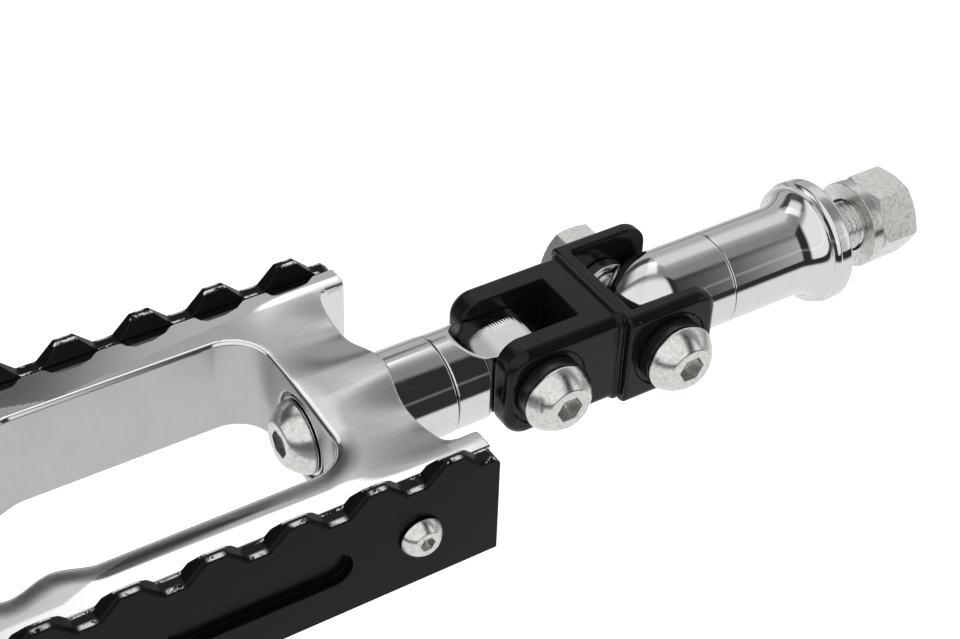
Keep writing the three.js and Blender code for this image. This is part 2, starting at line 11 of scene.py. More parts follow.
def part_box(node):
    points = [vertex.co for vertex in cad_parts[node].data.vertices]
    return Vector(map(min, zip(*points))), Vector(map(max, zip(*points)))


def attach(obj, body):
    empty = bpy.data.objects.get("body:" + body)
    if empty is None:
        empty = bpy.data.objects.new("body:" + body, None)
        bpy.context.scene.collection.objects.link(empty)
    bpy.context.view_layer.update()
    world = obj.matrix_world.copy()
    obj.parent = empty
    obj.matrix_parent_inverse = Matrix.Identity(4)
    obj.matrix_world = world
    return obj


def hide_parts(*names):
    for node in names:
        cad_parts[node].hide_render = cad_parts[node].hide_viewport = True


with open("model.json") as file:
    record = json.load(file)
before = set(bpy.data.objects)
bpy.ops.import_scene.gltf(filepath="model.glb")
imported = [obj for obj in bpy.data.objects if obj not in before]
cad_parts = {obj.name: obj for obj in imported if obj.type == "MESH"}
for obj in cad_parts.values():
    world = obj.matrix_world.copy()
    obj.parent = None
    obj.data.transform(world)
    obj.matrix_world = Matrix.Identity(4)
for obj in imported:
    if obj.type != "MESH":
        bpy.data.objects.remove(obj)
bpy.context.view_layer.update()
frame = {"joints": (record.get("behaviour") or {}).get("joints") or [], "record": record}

# ---------------------------------------------------------------- places, in millimetres
MM = 0.001
joints = {joint["name"]: joint for joint in frame["joints"]}
INNER = joints["link_tilt"]["pos_m"][0] / MM
OUTER = joints["peg_fold"]["pos_m"][0] / MM


def box_mm(node):
    low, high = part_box(node)
    return low / MM, high / MM


def middle_mm(node):
    low, high = box_mm(node)
    return (low + high) / 2


BODIES = {}
for body, members in frame["record"]["behaviour"]["bodies"].items():
    for member in members:
        BODIES[member] = body
SLOTS = {entry["node"]: entry["material_slot"] for entry in frame["record"]["subparts"]}

FRAME_LOW, FRAME_HIGH = box_mm("platform_frame")
LINK_LOW, LINK_HIGH = box_mm("clevis_link")
RAIL_LOW, RAIL_HIGH = box_mm("rear_grip_rail")
ADAPTER_LOW, ADAPTER_HIGH = box_mm("pivot_adapter")
BOLT_HOLE = 4.9
STUD_HOLE = 6.3
SCREW_HOLE = 2.5
TOOTH_PITCH = 17.1
RAIL_END = 10.7  # from the rail's end to its first tooth's middle
FIRST_TOOTH = FRAME_HIGH.x - RAIL_END


# ---------------------------------------------------------------- camera
CAMERA_AZIMUTH = -33.25
CAMERA_ELEVATION = 39.57
CAMERA_ROLL = 2.08
CAMERA_DISTANCE = 439.2
CAMERA_ASIDE = 33.7  # how far right of the view's centre the inner pivot lies
CAMERA_ABOVE = 2.37
FOCAL_LENGTH = 72.4


def make_camera():
    turn, lift = math.radians(CAMERA_AZIMUTH), math.radians(CAMERA_ELEVATION)
    roll = math.radians(CAMERA_ROLL)
    reach = math.cos(lift)
    back = Vector((math.sin(turn) * reach, -math.cos(turn) * reach, math.sin(lift)))
    level = Vector((math.cos(turn), math.sin(turn), 0))
    upright = back.cross(level)
    right = math.cos(roll) * level + math.sin(roll) * upright
    up = math.cos(roll) * upright - math.sin(roll) * level
    place = CAMERA_DISTANCE * back - CAMERA_ASIDE * right - CAMERA_ABOVE * up
    place += Vector((INNER, 0, 0))
    camera = bpy.data.objects.new("camera", bpy.data.cameras.new("camera"))
    camera.data.lens = FOCAL_LENGTH
    camera.data.sensor_width = 36
    camera.data.clip_start = 0.01
    facing = Matrix((right, up, back)).transposed().to_4x4()
    camera.matrix_world = Matrix.Translation(place * MM) @ facing
    bpy.context.scene.collection.objects.link(camera)
    bpy.context.scene.camera = camera


make_camera()


# ---------------------------------------------------------------- node helpers
class Nodes:
    """A short way to write a node tree."""

    def __init__(self, tree):
        self.tree = tree
        tree.nodes.clear()

    def add(self, kind, **settings):
        node = self.tree.nodes.new(kind)
        for key, value in settings.items():
            setattr(node, key, value)
        return node

    def link(self, value, socket):
        if isinstance(value, bpy.types.NodeSocket):
            self.tree.links.new(value, socket)
        else:
            socket.default_value = value

    def math(self, operation, a, b=0.0):
        node = self.add("ShaderNodeMath", operation=operation)
        self.link(a, node.inputs[0])
        self.link(b, node.inputs[1])
        return node.outputs[0]

    def length(self, a, b):
        squares = self.math("ADD", self.math("MULTIPLY", a, a), self.math("MULTIPLY", b, b))
        return self.math("SQRT", squares)

    def ramp(self, value, low, high, out_low=0.0, out_high=1.0):
        """out_low below low, out_high above high, and smooth between."""
        node = self.add("ShaderNodeMapRange", interpolation_type="SMOOTHSTEP")
        for socket, item in zip(node.inputs, (value, low, high, out_low, out_high)):
            self.link(item, socket)
        return node.outputs[0]

    def mix(self, factor, a, b):
        node = self.add("ShaderNodeMix", data_type="RGBA")
        self.link(factor, node.inputs[0])
        self.link(a, node.inputs[6])
        self.link(b, node.inputs[7])
        return node.outputs[2]

    def place(self):
        """Object coordinates in millimetres."""
        scale = self.add("ShaderNodeVectorMath", operation="SCALE")
        self.link(self.add("ShaderNodeTexCoord").outputs["Object"], scale.inputs[0])
        scale.inputs["Scale"].default_value = 1 / MM
        return scale.outputs[0]

    def stretch(self, vector, factors):
        node = self.add("ShaderNodeVectorMath", operation="MULTIPLY")
        self.link(vector, node.inputs[0])
        node.inputs[1].default_value = factors
        return node.outputs[0]

    def split(self, vector):
        node = self.add("ShaderNodeSeparateXYZ")
        self.link(vector, node.inputs[0])
        return node.outputs

    def noise(self, vector, scale, detail=3.0, roughness=0.55, distortion=0.0):
        node = self.add("ShaderNodeTexNoise")
        self.link(vector, node.inputs["Vector"])
        node.inputs["Scale"].default_value = scale
        node.inputs["Detail"].default_value = detail
        node.inputs["Roughness"].default_value = roughness
        node.inputs["Distortion"].default_value = distortion
        return node.outputs["Fac"]

    def bump(self, height, distance_mm, strength=1.0, normal=None):
        node = self.add("ShaderNodeBump")
        self.link(height, node.inputs["Height"])
        node.inputs["Distance"].default_value = distance_mm * MM
        self.link(strength, node.inputs["Strength"])
        if normal:
            self.link(normal, node.inputs["Normal"])
        return node.outputs[0]


def grey(value, alpha=1.0):
    return (value, value, value, alpha)


def new_material(name):
    material = bpy.data.materials.new(name)
    material.use_nodes = True
    nodes = Nodes(material.node_tree)
    shader = nodes.add("ShaderNodeBsdfPrincipled")
    output = nodes.add("ShaderNodeOutputMaterial")
    nodes.link(shader.outputs[0], output.inputs["Surface"])
    return material, nodes, shader


# ---------------------------------------------------------------- materials
# Edges of the rails' section that are rubbed bare and also carry painted highlights (pale glints painted
# into the colour): side, height, reach, how rare the patches are.
WORN_AND_GLINT_EDGES = (
    (RAIL_LOW.y + 1.5, RAIL_HIGH.z, 0.6, 0.9),
    (RAIL_LOW.y + 0.2, 12.1, 0.5, 1.02),
    (RAIL_HIGH.y - 0.45, RAIL_HIGH.z - 0.4, 0.9, 0.9),
    (RAIL_HIGH.y - 0.45, 11.65, 1.0, 0.9),
)


CUTTER_RADIUS = 22  # of the arcs that the mill left on the adapter's tongue
CUTTER_PITCH = 0.7


def chrome_material():
    """Bright plating with faint haze, wiped smudges and hairline scratches."""
    material, nodes, shader = new_material("chrome")
    place = nodes.place()
    haze = nodes.noise(place, 0.09, 4, 0.6, 0.5)
    smudge = nodes.noise(nodes.stretch(place, (0.3, 0.9, 0.9)), 0.45, 7, 0.72, 0.8)
    scratches = nodes.noise(nodes.stretch(place, (0.35, 5.0, 5.0)), 1.4, 6, 0.75)
    roughness = nodes.ramp(haze, 0.4, 0.7, 0.02, 0.045)
    smudged = nodes.math("MULTIPLY", nodes.ramp(smudge, 0.5, 0.68), nodes.ramp(haze, 0.4, 0.6))
    roughness = nodes.math("ADD", roughness, nodes.math("MULTIPLY", smudged, 0.05))
    nodes.link(roughness, shader.inputs["Roughness"])
    nodes.link(nodes.mix(smudged, grey(0.72), grey(0.66)), shader.inputs["Base Color"])
    film = nodes.math("MULTIPLY", smudged, -0.03)
    nodes.link(nodes.math("ADD", 1.0, film), shader.inputs["Metallic"])
    cuts = nodes.math("ADD", scratches, nodes.math("MULTIPLY", smudge, 0.6))
    milled = nodes.add("ShaderNodeAttribute", attribute_name="milled").outputs["Fac"]
    first = nodes.bump(cuts, 0.005, 0.6)
    from_pivot = nodes.math("SUBTRACT", nodes.split(place)[0], OUTER - CUTTER_RADIUS)
    across = nodes.split(place)[1]
    from_middle = nodes.length(from_pivot, across)
    arcs = nodes.math("SINE", nodes.math("MULTIPLY", from_middle, 2 * math.pi / CUTTER_PITCH))
    worn = nodes.ramp(nodes.noise(place, 0.3, 4), 0.35, 0.6, 0.05, 0.4)
    second = nodes.bump(arcs, 0.02, nodes.math("MULTIPLY", milled, worn), first)
    nodes.link(second, shader.inputs["Normal"])
    return material


def satin_material():
    """Tumbled satin plating; the polish attribute marks the mirror strips, wall the window's sides."""
    material, nodes, shader = new_material("platform_satin")
    place = nodes.place()
    polish = nodes.add("ShaderNodeAttribute", attribute_name="polish").outputs["Fac"]
    wall = nodes.add("ShaderNodeAttribute", attribute_name="wall").outputs["Fac"]
    grain = nodes.noise(place, 3.2, 4, 0.6)
    streaks = nodes.noise(nodes.stretch(place, (0.25, 1.6, 0.25)), 1.6, 5, 0.65)
    brushed = nodes.noise(nodes.stretch(place, (1.1, 1.1, 0.12)), 1.5, 4, 0.6)
    clouds = nodes.noise(place, 0.09, 3)
    satin = nodes.ramp(clouds, 0.3, 0.7, 0.17, 0.24)
    roughness = nodes.math("SUBTRACT", satin, nodes.math("MULTIPLY", polish, 0.2))
    roughness = nodes.math("ADD", roughness, nodes.math("MULTIPLY", wall, 0.14))
    nodes.link(nodes.math("MAXIMUM", roughness, 0.04), shader.inputs["Roughness"])
    tone = nodes.mix(nodes.ramp(streaks, 0.3, 0.75), grey(0.55), grey(0.5))
    tone = nodes.mix(wall, tone, nodes.mix(nodes.ramp(brushed, 0.3, 0.7), grey(0.535), grey(0.555)))
    nodes.link(nodes.mix(polish, tone, grey(0.75)), shader.inputs["Base Color"])
    rough_part = nodes.math("SUBTRACT", 1.0, polish)
    first = nodes.bump(grain, 0.012, nodes.math("MULTIPLY", rough_part, 0.6))
    second = nodes.bump(brushed, 0.02, nodes.math("MULTIPLY", wall, 0.08), first)
    nodes.link(second, shader.inputs["Normal"])
    shader.inputs["Metallic"].default_value = 1
    return material


def edge_mask(nodes, radius_mm, low=0.02, high=0.2):
    """White along sharp convex and concave edges."""
    soft = nodes.add("ShaderNodeBevel", samples=6)
    soft.inputs["Radius"].default_value = radius_mm * MM
    geometry = nodes.add("ShaderNodeNewGeometry")
    dot = nodes.add("ShaderNodeVectorMath", operation="DOT_PRODUCT")
    nodes.link(soft.outputs[0], dot.inputs[0])
    nodes.link(geometry.outputs["Normal"], dot.inputs[1])
    difference = nodes.math("SUBTRACT", 1.0, dot.outputs["Value"])
    return nodes.ramp(difference, low, high)


def black_gloss_material():
    """Gloss black coating, chipped to bare metal along its sharp edges, with a painted highlight: a pale
    edge colour at 0.3 strength along all the sharp edges between the chips.
    """
    material, nodes, shader = new_material("link_black")
    place = nodes.place()
    chips = nodes.noise(place, 1.1, 8, 0.75, 0.6)
    # Painted highlight: every sharp edge gets at least 0.3 of the pale colour, and full chips where the
    # noise allows.
    chips_and_edge_highlight = nodes.ramp(chips, 0.54, 0.6, 0.3, 1)
    edges = nodes.math("MULTIPLY", edge_mask(nodes, 0.35, 0.05, 0.25), chips_and_edge_highlight)
    specks = nodes.ramp(nodes.noise(place, 2.6, 2, 0.5), 0.76, 0.78)
    bare_and_edge_highlight = nodes.math("MAXIMUM", edges, nodes.math("MULTIPLY", specks, 0.7))
    smear = nodes.noise(place, 0.25, 5)
    # Pale colour where chipped, and as a painted highlight along the edges.
    colour = nodes.mix(bare_and_edge_highlight, (0.008, 0.008, 0.0085, 1), (0.75, 0.7, 0.64, 1))
    nodes.link(colour, shader.inputs["Base Color"])
    nodes.link(nodes.math("MULTIPLY", bare_and_edge_highlight, 0.5), shader.inputs["Metallic"])
    nodes.link(nodes.ramp(smear, 0.3, 0.7, 0.12, 0.22), shader.inputs["Roughness"])
    nodes.link(nodes.bump(nodes.noise(place, 1.8, 3), 0.01, 0.5), shader.inputs["Normal"])
    shader.inputs["Specular IOR Level"].default_value = 0.22
    return material


def black_satin_material():
    """Satin black rails, rubbed to bare metal along the edges of the teeth and valleys that
    boots touch, with painted highlights: pale glints painted along the same edges where they face up.
    Distances are measured in the rail's section."""
    material, nodes, shader = new_material("rail_black")
    place = nodes.place()
    across, height = nodes.split(place)[1], nodes.split(place)[2]
    side = nodes.math("ABSOLUTE", across)
    normal = nodes.split(nodes.add("ShaderNodeTexCoord").outputs["Normal"])
    patches = nodes.math("ADD", nodes.noise(place, 0.3, 3, 0.5), nodes.noise(place, 1.6, 6, 0.8))
    # Painted highlight: the pale patches are kept to up-facing faces and off the tooth slopes, where
    # glints show.
    level = nodes.ramp(normal[2], 0.5, 0.7)
    from_tooth = nodes.math("SUBTRACT", nodes.split(place)[0], FIRST_TOOTH)
    turns = nodes.math("MULTIPLY", from_tooth, math.pi / TOOTH_PITCH)
    swing = nodes.math("SINE", nodes.math("MULTIPLY", turns, 2))
    middle = nodes.ramp(nodes.math("ABSOLUTE", swing), 0.25, 0.8, 1, 0)
    outer = nodes.ramp(side, RAIL_HIGH.y - 1.5, RAIL_HIGH.y - 1.2)
    slopes = nodes.ramp(nodes.math("SUBTRACT", outer, middle), 0.0, 1.0, 1, 0)
    level = nodes.math("MULTIPLY", level, slopes)
    rubbed_and_glints = 0.0
    for edge_y, edge_z, reach, rarity in WORN_AND_GLINT_EDGES:
        away_y = nodes.math("SUBTRACT", side, edge_y)
        away_z = nodes.math("SUBTRACT", height, edge_z)
        near = nodes.ramp(nodes.length(away_y, away_z), 0.4 * reach, reach, 1, 0)
        near = nodes.math("MULTIPLY", near, nodes.ramp(patches, rarity, rarity + 0.06))
        rubbed_and_glints = nodes.math("MAXIMUM", rubbed_and_glints, near)
    rubbed_and_glints = nodes.math("MULTIPLY", rubbed_and_glints, level)
    grain = nodes.noise(place, 6.0, 3)
    # Pale base colour where rubbed: bare metal, and partly a painted highlight (glints).
    nodes.link(nodes.mix(rubbed_and_glints, (0.004, 0.004, 0.0045, 1), grey(0.95)), shader.inputs["Base Color"])
    nodes.link(nodes.math("MULTIPLY", rubbed_and_glints, 0.3), shader.inputs["Metallic"])
    sheen = nodes.ramp(nodes.noise(place, 0.2, 3), 0.3, 0.7, 0.2, 0.3)
    nodes.link(nodes.math("ADD", sheen, nodes.math("MULTIPLY", rubbed_and_glints, 0.2)), shader.inputs["Roughness"])
    nodes.link(nodes.bump(grain, 0.006, 0.6), shader.inputs["Normal"])
    shader.inputs["Specular IOR Level"].default_value = 0.12
    return material


def steel_material():
    """Satin plated screws with dull mottled patches and tiny pits."""
    material, nodes, shader = new_material("fastener")
    place = nodes.place()
    mottle = nodes.noise(place, 1.1, 8, 0.75)
    pits = nodes.ramp(nodes.noise(place, 2.6, 3, 0.6), 0.68, 0.74)
    patch = nodes.ramp(mottle, 0.42, 0.68)
    tone = nodes.mix(patch, (0.74, 0.735, 0.725, 1), (0.55, 0.545, 0.535, 1))
    colour = nodes.mix(nodes.math("MULTIPLY", pits, 0.3), tone, grey(0.2))
    nodes.link(colour, shader.inputs["Base Color"])
    nodes.link(nodes.math("ADD", nodes.math("MULTIPLY", patch, 0.12), 0.18), shader.inputs["Roughness"])
    nodes.link(nodes.bump(nodes.noise(place, 4.0, 5, 0.65), 0.012, 0.7), shader.inputs["Normal"])
    shader.inputs["Metallic"].default_value = 1
    return material


def black_oxide_material():
    material, nodes, shader = new_material("washer_black")
    place = nodes.place()
    streak = nodes.noise(nodes.stretch(place, (1, 6, 1)), 1.2, 5)
    nodes.link(nodes.mix(streak, grey(0.006), grey(0.018)), shader.inputs["Base Color"])
    nodes.link(nodes.ramp(streak, 0.3, 0.7, 0.22, 0.34), shader.inputs["Roughness"])
    nodes.link(nodes.bump(streak, 0.01, 0.6), shader.inputs["Normal"])
    return material


MATERIALS = {
    "chrome": chrome_material(),
    "platform_satin": satin_material(),
    "link_black": black_gloss_material(),
    "rail_black": black_satin_material(),
    "fastener": steel_material(),
    "washer_black": black_oxide_material(),
}


# ---------------------------------------------------------------- surfaces from distances
# A shape is a function of x, y, z in millimetres: negative inside, positive outside.
def meet(a, b, radius):
    """Where both are inside, with the edge between them rounded."""
    inner = np.minimum(np.maximum(a, b), -radius)
    return inner + np.hypot(np.maximum(a + radius, 0), np.maximum(b + radius, 0))


def join(a, b, radius):
    """Either, with a fillet between them."""
    return -meet(-a, -b, radius)


def cut(a, b, radius):
    """a without b."""
    return meet(a, -b, radius)


def smooth(low, high, value):
    """0 at low, 1 at high, and smooth between."""
    t = np.clip((value - low) / (high - low), 0, 1)
    return t * t * (3 - 2 * t)


def gradient(distance, points, step):
    slopes = []
    for axis in range(3):
        offset = np.zeros(3)
        offset[axis] = step
        ahead = distance(*(points + offset).T)
        behind = distance(*(points - offset).T)
        slopes.append((ahead - behind) / (2 * step))
    return np.array(slopes).T


def surface_net(distance, low, high, cell):
    """Vertices, quads and normals of the closed surface where distance is zero."""
    low = np.array(low, float) - 2.5 * cell
    counts = [int(math.ceil((b - a) / cell)) + 4 for a, b in zip(low, high)]
    axes = [start + cell * np.arange(count) for start, count in zip(low, counts)]
    field = distance(*np.meshgrid(*axes, indexing="ij"))
    inside = field < 0
    nx, ny, nz = counts
    steps = [(i, j, k) for i in (0, 1) for j in (0, 1) for k in (0, 1)]
    filled = sum(inside[i:nx - 1 + i, j:ny - 1 + j, k:nz - 1 + k].astype(np.int8) for i, j, k in steps)
    active = (filled > 0) & (filled < 8)
    number = np.full(active.shape, -1)
    number[active] = np.arange(int(active.sum()))
    cells = np.argwhere(active)
    total = np.zeros((len(cells), 3))
    crossings = np.zeros(len(cells))
    for start in steps:
        for axis in range(3):
            if start[axis]:
                continue
            end = list(start)
            end[axis] = 1
            here = field[tuple((cells + start).T)]
            there = field[tuple((cells + end).T)]
            crosses = (here < 0) != (there < 0)
            share = np.where(crosses, here / np.where(crosses, here - there, 1), 0)
            place = np.array(start) + share[:, None] * (np.array(end) - start)
            total += place * crosses[:, None]
            crossings += crosses
    points = low + cell * (cells + total / crossings[:, None])
    for _ in range(4):
        slope = gradient(distance, points, 0.01)
        value = distance(*points.T)
        move = value / np.maximum((slope ** 2).sum(1), 0.05)
        points -= np.clip(move, -0.4 * cell, 0.4 * cell)[:, None] * slope
    quads = []
    for axis in range(3):
        first = [slice(1, n - 1) for n in counts]
        second = list(first)
        first[axis] = slice(0, counts[axis] - 1)
        second[axis] = slice(1, counts[axis])
        before, after = inside[tuple(first)], inside[tuple(second)]
        others = [a for a in range(3) if a != axis]
        for flips in (False, True):
            found = np.argwhere((after & ~before) if flips else (before & ~after))
            found[:, others] += 1
            ring = []
            for da, db in ((-1, -1), (0, -1), (0, 0), (-1, 0)):
                corner = found.copy()
                corner[:, others[0]] += da
                corner[:, others[1]] += db
                ring.append(number[tuple(corner.T)])
            quad = np.array(ring).T
            if flips != (axis == 1):
                quad = quad[:, ::-1]
            quads.append(quad)
    slope = gradient(distance, points, 0.02)
    normals = slope / np.linalg.norm(slope, axis=1)[:, None]
    return points, np.concatenate(quads), normals


def net_object(name, distance, low, high, cell, attributes=None):
    points, quads, normals = surface_net(distance, low, high, cell)
    mesh = bpy.data.meshes.new(name)
    mesh.from_pydata((points * MM).tolist(), [], quads.tolist())
    for key, function in (attributes or {}).items():
        layer = mesh.attributes.new(key, "FLOAT", "POINT")
        layer.data.foreach_set("value", function(points, normals).astype(np.float32))
    mesh.validate()
    mesh.shade_smooth()
    mesh.normals_split_custom_set_from_vertices(normals.tolist())
    piece = bpy.data.objects.new(name, mesh)
    bpy.context.scene.collection.objects.link(piece)
    return piece


# ---------------------------------------------------------------- turned and extruded pieces
def mesh_object(name, mesh):
    piece = bpy.data.objects.new(name, mesh)
    bpy.context.scene.collection.objects.link(piece)
    return piece


AXES = {
    "x": Matrix(((0, 0, 1), (1, 0, 0), (0, 1, 0))).to_4x4(),
    "y": Matrix(((1, 0, 0), (0, 0, 1), (0, -1, 0))).to_4x4(),
    "z": Matrix.Identity(4),
}


def round_corners(points, radius, closed=True, steps=4):
    """The same outline with each corner eased over about this radius."""
    result = []
    count = len(points)
    for i, (x, y) in enumerate(points):
        corner = Vector((x, y))
        before = Vector(points[i - 1]) - corner
        after = Vector(points[(i + 1) % count]) - corner
        ends = not closed and i in (0, count - 1)
        if ends or before.length < 1e-6 or after.length < 1e-6:
            result.append((x, y))
            continue
        reach = min(radius, 0.45 * before.length, 0.45 * after.length)
        start = corner + reach * before.normalized()
        end = corner + reach * after.normalized()
        for step in range(steps + 1):
            t = step / steps
            result.append(tuple((1 - t) ** 2 * start + 2 * t * (1 - t) * corner + t * t * end))
    return result


def lathe(name, profile, axis, centre=(0, 0, 0), segments=96, flip=False, thread=None):
    """Surface of revolution, in millimetres: profile is (along, radius) pairs, closed on the axis
    or on itself. thread is (start, end, pitch, depth)."""
    angles = [2 * math.pi * i / segments for i in range(segments)]

    def reach(along, radius, angle):
        if not thread or not thread[0] < along < thread[1]:
            return radius
        start, end, pitch, depth = thread
        fade = min(1, (along - start) / pitch, (end - along) / pitch)
        return radius - depth * fade * (0.5 - 0.5 * math.cos(2 * math.pi * along / pitch - angle))

    mesh = bpy.data.meshes.new(name)
    shape = bmesh.new()
    rings = []
    for along, radius in profile:
        if radius < 1e-6:
            rings.append([shape.verts.new((0, 0, along))])
            continue
        ring = []
        for angle in angles:
            out = reach(along, radius, angle)
            ring.append(shape.verts.new((out * math.cos(angle), out * math.sin(angle), along)))
        rings.append(ring)
    for lower, upper in zip(rings, rings[1:]):
        for i in range(segments):
            j = (i + 1) % segments
            if len(lower) == 1:
                shape.faces.new((lower[0], upper[j], upper[i]))
            elif len(upper) == 1:
                shape.faces.new((lower[i], lower[j], upper[0]))
            else:
                shape.faces.new((lower[i], lower[j], upper[j], upper[i]))
    if len(rings[0]) > 1:
        for i in range(segments):
            j = (i + 1) % segments
            shape.faces.new((rings[-1][i], rings[-1][j], rings[0][j], rings[0][i]))
    bmesh.ops.recalc_face_normals(shape, faces=shape.faces)
    shape.to_mesh(mesh)
    shape.free()
    turn = AXES[axis]
    if flip:
        turn = turn @ Matrix.Rotation(math.pi, 4, "X")
    mesh.transform(Matrix.Translation(centre) @ turn)
    return mesh_object(name, mesh)


def thread_rings(start, end, pitch, radius):
    count = int((end - start) / pitch * 10)
    return [(start + (end - start) * i / count, radius) for i in range(count + 1)]


def prism(name, outline, low, high, axis="y"):
    """An outline given thickness along an axis, in millimetres. The outline's two coordinates are
    the other two axes in order."""
    others = [i for i in range(3) if i != "xyz".index(axis)]
    shape = bmesh.new()

    def corner(point, level):
        place = [level] * 3
        place[others[0]], place[others[1]] = point
        return shape.verts.new(place)

    near = [corner(point, low) for point in outline]
    far = [corner(point, high) for point in outline]
    shape.faces.new(near)
    shape.faces.new(far[::-1])
    for i in range(len(outline)):
        j = (i + 1) % len(outline)
        shape.faces.new((near[i], far[i], far[j], near[j]))
    bmesh.ops.recalc_face_normals(shape, faces=shape.faces)
    mesh = bpy.data.meshes.new(name)
    shape.to_mesh(mesh)
    shape.free()
    return mesh_object(name, mesh)


def rod(name, low, high, radius, centre):
    """A plain rod along y."""
    return lathe(name, [(low, 0), (low, radius), (high, radius), (high, 0)], "y", centre, 32)


def apply_modifiers(piece):
    bpy.context.view_layer.update()
    graph = bpy.context.evaluated_depsgraph_get()
    mesh = bpy.data.meshes.new_from_object(piece.evaluated_get(graph))
    piece.modifiers.clear()
    piece.data = mesh
    return piece


def boolean(piece, tools, operation="DIFFERENCE"):
    for tool in tools:
        modifier = piece.modifiers.new("cut", "BOOLEAN")
        modifier.operation = operation
        modifier.solver = "EXACT"
        modifier.object = tool
    apply_modifiers(piece)
    for tool in tools:
        bpy.data.objects.remove(tool)
    return piece


def soften(piece, width, segments=3, angle=30):
    """Rounds the edges sharper than angle, in millimetres."""
    modifier = piece.modifiers.new("edges", "BEVEL")
    modifier.width = width
    modifier.segments = segments
    modifier.limit_method = "ANGLE"
    modifier.angle_limit = math.radians(angle)
    modifier.use_clamp_overlap = True
    modifier.harden_normals = False
    return apply_modifiers(piece)


def finish_piece(piece, node, scale=MM, crease=28):
    """Takes a millimetre mesh to metres, and gives it the material of the node's slot and the node's
    body.
    """
    if scale != 1:
        piece.data.transform(Matrix.Scale(scale, 4))
        piece.data.shade_smooth()
        piece.data.set_sharp_from_angle(angle=math.radians(crease))
        weighted = piece.modifiers.new("normals", "WEIGHTED_NORMAL")
        weighted.keep_sharp = True
        apply_modifiers(piece)
    piece.data.materials.clear()
    piece.data.materials.append(MATERIALS[SLOTS[node]])
    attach(piece, BODIES[node])
    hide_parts(node)
    return piece


# ---------------------------------------------------------------- platform frame
STRIP_TOP = 12.05
FRAME_BOTTOM = FRAME_LOW.z
FRAME_HALF_WIDTH = FRAME_HIGH.y + 0.2
FRAME_END = FRAME_LOW.x
HORN_END = FRAME_HIGH.x
HORN_INNER = 27.5
WEB_END = INNER - 66.2
WINDOW_END = INNER - 84
WINDOW_HALF_WIDTH = 22.3
WINDOW_OUTER_END = FRAME_END + 4.5
BOSS_X, _, SCREW_Z = middle_mm("front_rail_screw_outer")
SCREW_XS = (BOSS_X, middle_mm("front_rail_screw_inner").x)
WINDOW_CORNERS = (9.0, 5.0)  # radius at the inner and at the outer end
BOSS_HALF_LENGTH = 9
BOSS_RISE = 2.3  # how far the bosses by the outer screws stand into the window
SCOOP_DEPTH = 2.0  # of the web between its middle and the rails
HUMP_HEIGHT = 0.35  # of the web's middle, over the peg bolt
ROLL_DROP = 0.8  # of the top by the window, full along the front bar and none along the rear
ROLL_WIDTH = 6.0
SCREW_DEPTH = 9
SEAT_RADIUS = 11.5  # round seat for the sleeve
SEAT_DEPTH = 0.8
RECESS_RADIUS = 9.7  # flat for the peg bolt's washer
RECESS_DEPTH = 2.2


def window_distance(x, y):
    """Plan distance to the window's edge, negative in the opening."""
    t = np.clip(np.abs(x - BOSS_X) / BOSS_HALF_LENGTH, 0, 1)
    rise = BOSS_RISE * 0.5 * (1 + np.cos(np.pi * t))
    middle = (WINDOW_END + WINDOW_OUTER_END) / 2
    reach = (WINDOW_END - WINDOW_OUTER_END) / 2
    radius = np.where(x > middle, *WINDOW_CORNERS)
    a = np.abs(x - middle) - reach + radius
    b = np.abs(y) - (WINDOW_HALF_WIDTH - rise) + radius
    return np.minimum(np.maximum(a, b), 0) + np.hypot(np.maximum(a, 0), np.maximum(b, 0)) - radius


def web_end(y):
    return WEB_END + 2.4 * np.exp(-((y / 7) ** 2)) + 1.2 * (np.abs(y) / HORN_INNER) ** 4


def top_height(x, y):
    """The platform's top: flat strips by the rails, rolled down to the window, scooped web."""
    side = np.abs(y)
    lengthwise = smooth(WINDOW_END - 4, WEB_END, x)
    across = smooth(3, 15, side) * (1 - smooth(17, 31, side))
    hump = HUMP_HEIGHT * (1 - smooth(0, 12, side)) * smooth(WEB_END - 12, WEB_END + 2, x)
    from_rim = np.clip(window_distance(x, y) / ROLL_WIDTH, 0, 1)
    roll = ROLL_DROP * (1 - smooth(-20, 10, y)) * (1 - from_rim) ** 2
    return STRIP_TOP + hump - SCOOP_DEPTH * lengthwise * across - roll


def platform_distance(x, y, z):
    side = np.abs(y)
    plan = np.maximum(np.maximum(FRAME_END - x, x - HORN_END), side - FRAME_HALF_WIDTH)
    notch = meet(web_end(y) - x, side - HORN_INNER, 2.5)
    plan = cut(plan, notch, 0.6)
    top = 0.96 * (z - top_height(x, y))
    solid = meet(plan, top, 0.35)
    solid = meet(solid, FRAME_BOTTOM - z, 0.6)
    solid = cut(solid, window_distance(x, y), 0.9)
    around = np.hypot(y, z)
    seat = np.maximum(around - SEAT_RADIUS, WEB_END - SEAT_DEPTH - x)
    solid = cut(solid, seat, 0.25)
    recess = np.maximum(around - RECESS_RADIUS, x - (WINDOW_END + RECESS_DEPTH))
    recess = np.maximum(recess, WINDOW_END - 9 - x)
    solid = cut(solid, recess, 0.5)
    solid = cut(solid, np.maximum(around - BOLT_HOLE, WINDOW_END - 9 - x), 0.1)
    for screw_x in SCREW_XS:
        hole = np.hypot(x - screw_x, z - SCREW_Z) - SCREW_HOLE
        hole = np.maximum(hole, FRAME_HALF_WIDTH - SCREW_DEPTH - side)
        solid = cut(solid, hole, 0.2)
    return solid


# Half width of the satin part of the platform's top, from its outer end to the horns.
POLISH_X = INNER - np.array([165.0, 148, 140, 128, 109, 97, 90, 80, 68, 60])
POLISH_Y = np.array([29.9, 29.7, 26.5, 23.4, 25.7, 27.0, 27.5, 28.4, 30.4, 31.0])
REAR_POLISH_Y = 28.0  # no further than this on the rear bar


